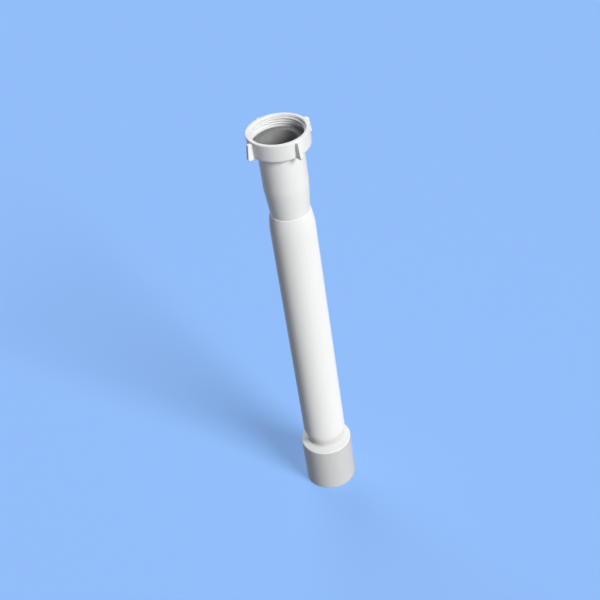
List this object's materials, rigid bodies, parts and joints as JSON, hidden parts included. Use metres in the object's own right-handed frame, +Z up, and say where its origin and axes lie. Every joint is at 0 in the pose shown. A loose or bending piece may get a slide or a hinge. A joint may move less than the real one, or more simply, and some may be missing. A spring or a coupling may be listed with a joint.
{
  "type": "flexible waste pipe",
  "caption": "Smooth flexible waste hose with a winged union nut that turns on a flanged tailpiece at the inlet, and a plain grey push-in sleeve at the outlet.",
  "frame": {"origin": "middle of the outlet sleeve's lower end, on the pipe's axis", "axes": "+Z up along the pipe towards the union nut; +X and +Y across it, with the lugs at 30, 120, 210 and 300 degrees from +X"},
  "size_m": [0.0584, 0.0584, 0.4157],
  "materials": {
    "white_plastic": "moulded white, satin",
    "dark_rubber": "moulded, dull",
    "soft_white_plastic": "extruded soft white, satin",
    "grey_plastic": "moulded light grey, satin"
  },
  "bodies": {
    "pipe": {"outlet_sleeve": "grey_plastic", "flexible_hose": "soft_white_plastic", "tailpiece": "white_plastic", "rubber_seal": "dark_rubber"},
    "nut": {"union_nut": "white_plastic"}
  },
  "joints": [
    {"name": "nut_turn", "type": "hinge", "parent": "pipe", "child": "nut", "pos_m": [0, 0, 0.407], "axis": [0, 0, 1], "continuous": true}
  ]
}
